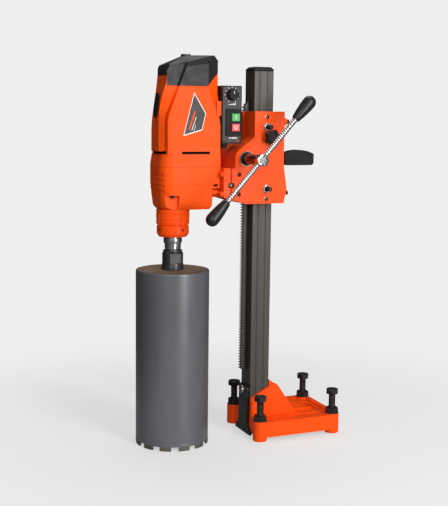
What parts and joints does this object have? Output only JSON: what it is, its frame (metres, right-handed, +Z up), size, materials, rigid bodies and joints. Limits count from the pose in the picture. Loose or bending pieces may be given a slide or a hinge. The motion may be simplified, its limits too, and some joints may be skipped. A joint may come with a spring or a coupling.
{
  "type": "core drill rig",
  "caption": "Rig-mounted core drill: a levelling base with a racked column, a hand-cranked carriage, and a geared motor turning a core bit.",
  "frame": {"origin": "underside of the foot plate, on the column's centre line, level with the base's four feet", "axes": "+Z up along the column; -X from the column towards the drill motor and its bit; -Y towards the hand crank and the switches"},
  "size_m": [0.4575, 0.239, 0.843],
  "materials": {
    "orange_paint": "satin orange powder coat",
    "black_plastic": "moulded, fine texture",
    "black_steel": "black oxide",
    "column_steel": "dark bronze anodised, satin",
    "chrome": "polished",
    "steel": "machined",
    "brass": "machined",
    "bit_paint": "satin blue-grey paint",
    "copper": "laminated iron and copper windings",
    "rubber": "matt",
    "green_plastic": "semi-gloss",
    "red_plastic": "semi-gloss"
  },
  "bodies": {
    "stand": {"base_casting": "orange_paint", "foot_plate": "black_steel", "column_tube": "column_steel", "column_cap": "black_plastic", "rack": "black_steel", "column_strap": "black_steel", "strap_bolt": "steel", "lock_nut_front_near": "black_steel", "lock_nut_front_far": "black_steel", "lock_nut_rear_near": "black_steel", "lock_nut_rear_far": "black_steel"},
    "leveler_front_near": {"leveling_screw_front_near": "black_steel"},
    "leveler_front_far": {"leveling_screw_front_far": "black_steel"},
    "leveler_rear_near": {"leveling_screw_rear_near": "black_steel"},
    "leveler_rear_far": {"leveling_screw_rear_far": "black_steel"},
    "carriage": {"carriage_housing": "orange_paint", "guide_pad_near": "brass", "guide_pad_far": "brass", "guide_pad_rear": "brass", "near_adjuster_upper": "black_steel", "near_adjuster_lower": "black_steel", "near_adjuster_nut_upper": "chrome", "near_adjuster_nut_lower": "chrome", "rear_adjuster_upper": "black_steel", "rear_adjuster_lower": "black_steel", "near_bushing": "steel", "far_bushing": "steel", "rear_handle": "black_plastic", "motor_adapter": "orange_paint", "adapter_bolt": "chrome", "motor_housing": "orange_paint", "end_cap": "black_plastic", "gear_case": "orange_paint", "spindle_neck": "orange_paint", "brush_cover": "black_plastic", "stator": "copper", "spindle_bearing": "steel", "shaft_seal": "rubber", "control_box": "black_plastic", "switch_bezel": "black_plastic", "cable_gland": "rubber"},
    "crank": {"feed_shaft": "steel", "feed_pinion": "steel", "crank_hub": "chrome", "crank_bar": "chrome", "crank_grip_upper": "black_plastic", "crank_grip_lower": "black_plastic"},
    "lock_knob": {"lock_knob": "black_plastic"},
    "spindle": {"spindle": "chrome", "output_gear": "steel", "bit_hub": "black_steel", "core_barrel": "bit_paint"},
    "counter_shaft": {"counter_shaft": "steel", "counter_gear": "steel"},
    "rotor": {"armature_shaft": "steel", "armature_core": "copper", "cooling_fan": "black_plastic"},
    "speed_knob": {"speed_knob": "black_plastic"},
    "start_button": {"start_button": "green_plastic"},
    "stop_button": {"stop_button": "red_plastic"}
  },
  "joints": [
    {"name": "carriage_feed", "type": "slide", "parent": "stand", "child": "carriage", "axis": [0, 0, 1], "range_m": [-0.385, 0.085]},
    {"name": "crank_turn", "type": "hinge", "parent": "carriage", "child": "crank", "pos_m": [-0.0555, -0.136, 0.624], "axis": [0, 1, 0], "range_deg": [-1104, 245]},
    {"name": "spindle_turn", "type": "hinge", "parent": "carriage", "child": "spindle", "pos_m": [-0.2005, 0, 0.45], "axis": [0, 0, 1], "continuous": true},
    {"name": "counter_turn", "type": "hinge", "parent": "carriage", "child": "counter_shaft", "pos_m": [-0.17192, 0.0165, 0.57], "axis": [0, 0, 1], "continuous": true},
    {"name": "rotor_turn", "type": "hinge", "parent": "carriage", "child": "rotor", "pos_m": [-0.1545, 0, 0.68], "axis": [0, 0, 1], "continuous": true},
    {"name": "lock_knob_turn", "type": "hinge", "parent": "carriage", "child": "lock_knob", "pos_m": [-0.0025, -0.076, 0.6695], "axis": [0, -1, 0], "range_deg": [0, 360]},
    {"name": "speed_knob_turn", "type": "hinge", "parent": "carriage", "child": "speed_knob", "pos_m": [-0.085, -0.0463, 0.759], "axis": [0, 1, 0], "range_deg": [-150, 150]},
    {"name": "start_press", "type": "slide", "parent": "carriage", "child": "start_button", "axis": [0, 1, 0], "range_m": [0, 0.003], "stiffness_N_per_m": 400},
    {"name": "stop_press", "type": "slide", "parent": "carriage", "child": "stop_button", "axis": [0, 1, 0], "range_m": [0, 0.003], "stiffness_N_per_m": 400},
    {"name": "leveler_front_near_travel", "type": "slide", "parent": "stand", "child": "leveler_front_near", "axis": [0, 0, 1], "range_m": [-0.02, 0.03]},
    {"name": "leveler_front_far_travel", "type": "slide", "parent": "stand", "child": "leveler_front_far", "axis": [0, 0, 1], "range_m": [-0.02, 0.03]},
    {"name": "leveler_rear_near_travel", "type": "slide", "parent": "stand", "child": "leveler_rear_near", "axis": [0, 0, 1], "range_m": [-0.02, 0.03]},
    {"name": "leveler_rear_far_travel", "type": "slide", "parent": "stand", "child": "leveler_rear_far", "axis": [0, 0, 1], "range_m": [-0.02, 0.03]}
  ],
  "couplings": [
    {"joint": "crank_turn", "follows": "carriage_feed", "rad_per_m": 50},
    {"joint": "counter_turn", "follows": "spindle_turn", "ratio": -2.6667},
    {"joint": "rotor_turn", "follows": "spindle_turn", "ratio": 8}
  ]
}
